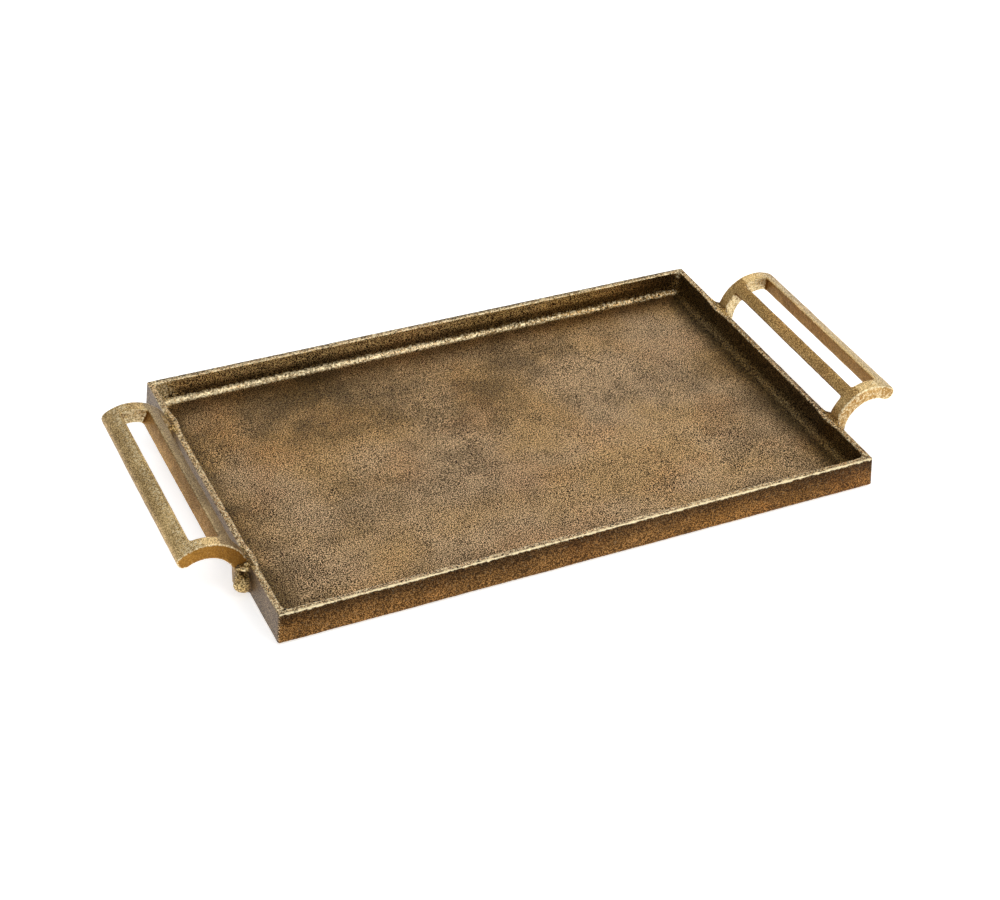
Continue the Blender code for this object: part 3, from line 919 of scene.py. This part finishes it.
def brass_zones(g, colour, zones):
    """The colour with broad yellow zones, by this much, and reddish ones."""
    yellow = g.span(g.noise(YELLOW_ZONE, 3.0, 0.5, offset=11.0), 0.40, 0.62, 0.0, zones)
    colour = g.mix(yellow, colour, YELLOW_TINT, "MULTIPLY")
    red = g.span(g.noise(RED_ZONE, 3.0, 0.5, offset=13.0), 0.50, 0.70, 0.0, 0.35)
    return g.mix(red, colour, RED_TINT, "MULTIPLY")


def brass_wear_and_highlights(g):
    """Wear and painted highlights, in patches where the attribute marks them, and a ragged painted
    highlight along the front rim's outer edge, on top of its wear.
    """
    sparkle = g.span(g.noise(SPARKLE_SIZE, 2.0, 0.6, offset=5.0), 0.36, 0.58, 0.25, 1.0)
    patches = g.span(g.noise(PATCH_SIZE, 2.0, 0.6, offset=19.0), 0.34, 0.66, -0.30, 0.30)
    wear_and_highlight = g.span(g.plus(g.attribute("wear_and_highlight"), patches), 0.20, 0.85)
    # Painted highlight: a ragged bright line along the front rim's outer edge, on its top and the face
    # below it
    ragged = g.times(g.noise(RAGGED_SIZE, 4.0, 0.7, offset=9.0), 6.0)
    on_top = g.span(g.plus(g.attribute("from_edge"), ragged), 4.6, 3.4)
    depth_in_mm = g.times(g.attribute("low"), PAN_HEIGHT / MM)
    on_face = g.span(g.plus(depth_in_mm, ragged), 4.2, 3.2)
    front_rim = g.times(g.times(on_top, on_face), 0.85)
    return g.maths("MAXIMUM", g.times(wear_and_highlight, sparkle), front_rim)


def cast_brass(name, pit, brass, pale, grain_size, grain_share, zones, warmth):
    """Sand-cast brass: patina in the pits, brass on the grain, and bare metal where the edges wear,
    with painted light and shade from the attributes: painted highlights and glints, painted shade,
    and tints for what each face reflects.
    """
    g = Graph(name)
    grain = g.noise(grain_size, 1.0, 0.5)
    coarse = g.noise(2.6 * grain_size, 2.0, 0.5, offset=1.0)
    cloud = g.noise(CLOUD_SIZE, 5.0, 0.62, offset=7.0)
    blotch = g.noise(BLOTCH_SIZE, 3.0, 0.55, offset=3.0)

    fine = g.span(g.blend(grain, coarse, 0.15), 0.44, 0.58)
    broad = g.span(g.blend(blotch, cloud, 0.5), 0.38, 0.62)
    dark = g.times(g.attribute("dark"), g.span(cloud, 0.3, 0.6, 0.8, 1.0))
    warm = g.attribute("warm")
    tone = g.maths("SUBTRACT", g.blend(broad, fine, grain_share), g.times(dark, 0.62))
    # Painted reflection: faces marked warm show less grain
    tone = g.blend(tone, 0.5, g.times(warm, 0.6))

    colour = g.mix(g.span(tone, 0.0, 0.55), pit, brass)
    colour = g.mix(g.span(tone, 0.45, 0.88), colour, pale)
    colour = g.mix(g.times(dark, 0.9), colour, DARK_TINT, "MULTIPLY")
    # Painted glints: gold specks where the grain catches the light, less metallic so that they stay
    # bright
    glint = g.span(g.noise(GLINT_SIZE, 1.0, 0.5, offset=17.0), 0.52, 0.60, 0.0, 0.95)
    glint = g.times(glint, g.attribute("gold"))
    colour = brass_zones(g, g.mix(glint, colour, GOLD), zones)
    # Painted reflection and shade: faces marked warm take a warmer tint, darker under the rim
    warm_colour = g.mix(g.span(g.attribute("low"), 0.08, 0.75), UNDER_RIM_SHADE, warmth)
    colour = g.mix(warm, colour, warm_colour, "MULTIPLY")
    # Painted shade: the grey attribute darkens faces towards a grey brown
    colour = g.mix(g.times(g.attribute("grey"), 0.7), colour, GREY)
    colour = g.mix(brass_wear_and_highlights(g), colour, RUBBED_AND_HIGHLIGHT)

    g.feed(g.shader.inputs["Base Color"], colour)
    g.feed(g.shader.inputs["Roughness"], g.span(tone, 0.0, 1.0, 0.5, 0.36))
    g.feed(g.shader.inputs["Metallic"], g.span(glint, 0.0, 1.0, 1.0, 0.3))
    g.bump(g.blend(grain, coarse, 0.5), 0.8, GRAIN_DEPTH)
    return g.material


def felt(name):
    g = Graph(name)
    fibres = g.noise(FIBRE_SIZE, 3.0, 0.7)
    colour = g.mix(fibres, (0.02, 0.014, 0.010, 1), (0.085, 0.06, 0.045, 1))
    g.feed(g.shader.inputs["Base Color"], colour)
    g.shader.inputs["Roughness"].default_value = 0.95
    g.shader.inputs["Sheen Weight"].default_value = 0.3
    g.bump(fibres, 0.8, FIBRE_DEPTH)
    return g.material


# ------------------------------------------------------------------ stage

FLOOR_SIZE = 12.0
FLOOR_DROP = 0.1 * MM  # keeps the floor clear of the pads' undersides
WHITE = (1.0, 1.0, 1.0, 1)
PALE_GREY = (0.86, 0.86, 0.86, 1)
SKY_STRENGTH = 0.6
FLOOR_GLOW = 0.6

# At the photograph's viewing angle: from the front left and from above
CAMERA_AZIMUTH, CAMERA_ELEVATION, CAMERA_ROLL = -27.21, 36.36, 3.31  # in degrees
CAMERA_TARGET = Vector((-0.0059, -0.0049, 0.0015))
CAMERA_DISTANCE = 1.5817
LENS, SENSOR_WIDTH = 71.88, 36  # in millimetres

# Each softbox's place, size and power
SOFTBOXES = {
    "behind": ((0.67, 1.30, 1.06), (1.8, 1.2), 5.5),
    "in_front": ((0.67, -0.90, 1.40), (1.2, 0.9), 9),
}


def make_stage():
    bpy.ops.mesh.primitive_plane_add(size=FLOOR_SIZE)
    floor = bpy.context.object
    floor.name = "studio_floor"
    floor.location.z = -FLOOR_DROP
    g = Graph("studio_floor")
    g.shader.inputs["Base Color"].default_value = PALE_GREY
    g.shader.inputs["Roughness"].default_value = 0.9
    g.shader.inputs["Emission Color"].default_value = WHITE
    g.shader.inputs["Emission Strength"].default_value = FLOOR_GLOW
    floor.data.materials.append(g.material)


def make_camera():
    azimuth, elevation = math.radians(CAMERA_AZIMUTH), math.radians(CAMERA_ELEVATION)
    roll = math.radians(CAMERA_ROLL)
    flat = math.cos(elevation)
    back = Vector((math.sin(azimuth) * flat, -math.cos(azimuth) * flat, math.sin(elevation)))
    right = Vector((math.cos(azimuth), math.sin(azimuth), 0))
    up = back.cross(right)
    tilted_right = math.cos(roll) * right + math.sin(roll) * up
    tilted_up = math.cos(roll) * up - math.sin(roll) * right
    data = bpy.data.cameras.new("camera")
    data.sensor_width = SENSOR_WIDTH
    data.lens = LENS
    camera = bpy.data.objects.new("camera", data)
    bpy.context.scene.collection.objects.link(camera)
    turn = Matrix((tilted_right, tilted_up, back)).transposed().to_4x4()
    camera.matrix_world = Matrix.Translation(CAMERA_TARGET + CAMERA_DISTANCE * back) @ turn
    bpy.context.scene.camera = camera


def add_softbox(name, place, size, power):
    """A rectangular light that faces the middle of the tray."""
    data = bpy.data.lights.new(name, "AREA")
    data.shape = "RECTANGLE"
    data.size, data.size_y = size
    data.energy = power
    light = bpy.data.objects.new(name, data)
    bpy.context.scene.collection.objects.link(light)
    light.location = place
    light.rotation_euler = (-Vector(place)).to_track_quat("-Z", "Y").to_euler()


def make_lights():
    for name, (place, size, power) in SOFTBOXES.items():
        add_softbox(name, place, size, power)
    world = bpy.data.worlds.new("studio")
    world.use_nodes = True
    background = world.node_tree.nodes["Background"]
    background.inputs["Color"].default_value = WHITE
    background.inputs["Strength"].default_value = SKY_STRENGTH
    bpy.context.scene.world = world
    bpy.context.scene.view_settings.view_transform = "Standard"


# ------------------------------------------------------------------ the scene

make_camera()
make_lights()
make_stage()
pan_metal = cast_brass(
    "pan_brass",
    pit=(0.010, 0.006, 0.002, 1),
    brass=(0.092, 0.058, 0.028, 1),
    pale=(0.68, 0.465, 0.255, 1),
    grain_size=0.82 * MM,
    grain_share=0.78,
    zones=0.7,
    warmth=(1.0, 0.74, 0.42, 1),
)
handle_metal = cast_brass(
    "handle_brass",
    pit=(0.21, 0.138, 0.056, 1),
    brass=(0.52, 0.355, 0.150, 1),
    pale=(0.90, 0.67, 0.33, 1),
    grain_size=0.80 * MM,
    grain_share=0.66,
    zones=0.2,
    warmth=(0.64, 0.46, 0.21, 1),
)
rough_metal = cast_brass(
    "braze_metal",
    pit=(0.06, 0.040, 0.015, 1),
    brass=(0.33, 0.225, 0.10, 1),
    pale=(0.85, 0.65, 0.34, 1),
    grain_size=1.0 * MM,
    grain_share=0.7,
    zones=0.7,
    warmth=(1.0, 0.72, 0.40, 1),
)
make_pan(pan_metal)
for side in ("left", "right"):
    make_handle(side, handle_metal)
make_brazes(rough_metal)
make_pads(felt("felt"))
